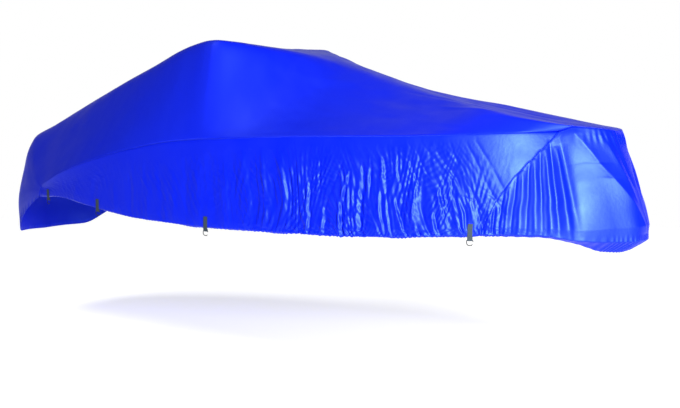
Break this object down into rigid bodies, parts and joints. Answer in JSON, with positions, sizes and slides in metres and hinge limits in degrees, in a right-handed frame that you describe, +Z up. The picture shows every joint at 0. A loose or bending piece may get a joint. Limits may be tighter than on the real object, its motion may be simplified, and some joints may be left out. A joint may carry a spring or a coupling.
{
  "type": "fitted boat cover",
  "caption": "Blue coated fitted cover as it hangs over a small cabin boat, taut on top, gathered at an elastic hem, with webbing tabs and open hooks.",
  "frame": {"origin": "on the centreline, just under the top where the windscreen frame of the boat carries it", "axes": "+X toward the bow, +Y to port, +Z up"},
  "size_m": [5.9346, 2.1168, 1.7273],
  "materials": {
    "cover_cloth": "polyurethane coated polyester, satin gloss, royal blue",
    "webbing": "woven polypropylene webbing, matt, slate grey",
    "hook_plastic": "moulded acetal, dark grey, satin"
  },
  "bodies": {
    "root": {"deck_panel": "cover_cloth", "side_panel_starboard": "cover_cloth", "side_panel_port": "cover_cloth", "bow_panel": "cover_cloth", "tab_starboard_1": "webbing", "hook_starboard_1": "hook_plastic", "tab_starboard_2": "webbing", "hook_starboard_2": "hook_plastic", "tab_starboard_3": "webbing", "hook_starboard_3": "hook_plastic", "tab_starboard_4": "webbing", "hook_starboard_4": "hook_plastic", "tab_port_1": "webbing", "hook_port_1": "hook_plastic", "tab_port_2": "webbing", "hook_port_2": "hook_plastic", "tab_port_3": "webbing", "hook_port_3": "hook_plastic", "tab_port_4": "webbing", "hook_port_4": "hook_plastic"}
  },
  "joints": []
}
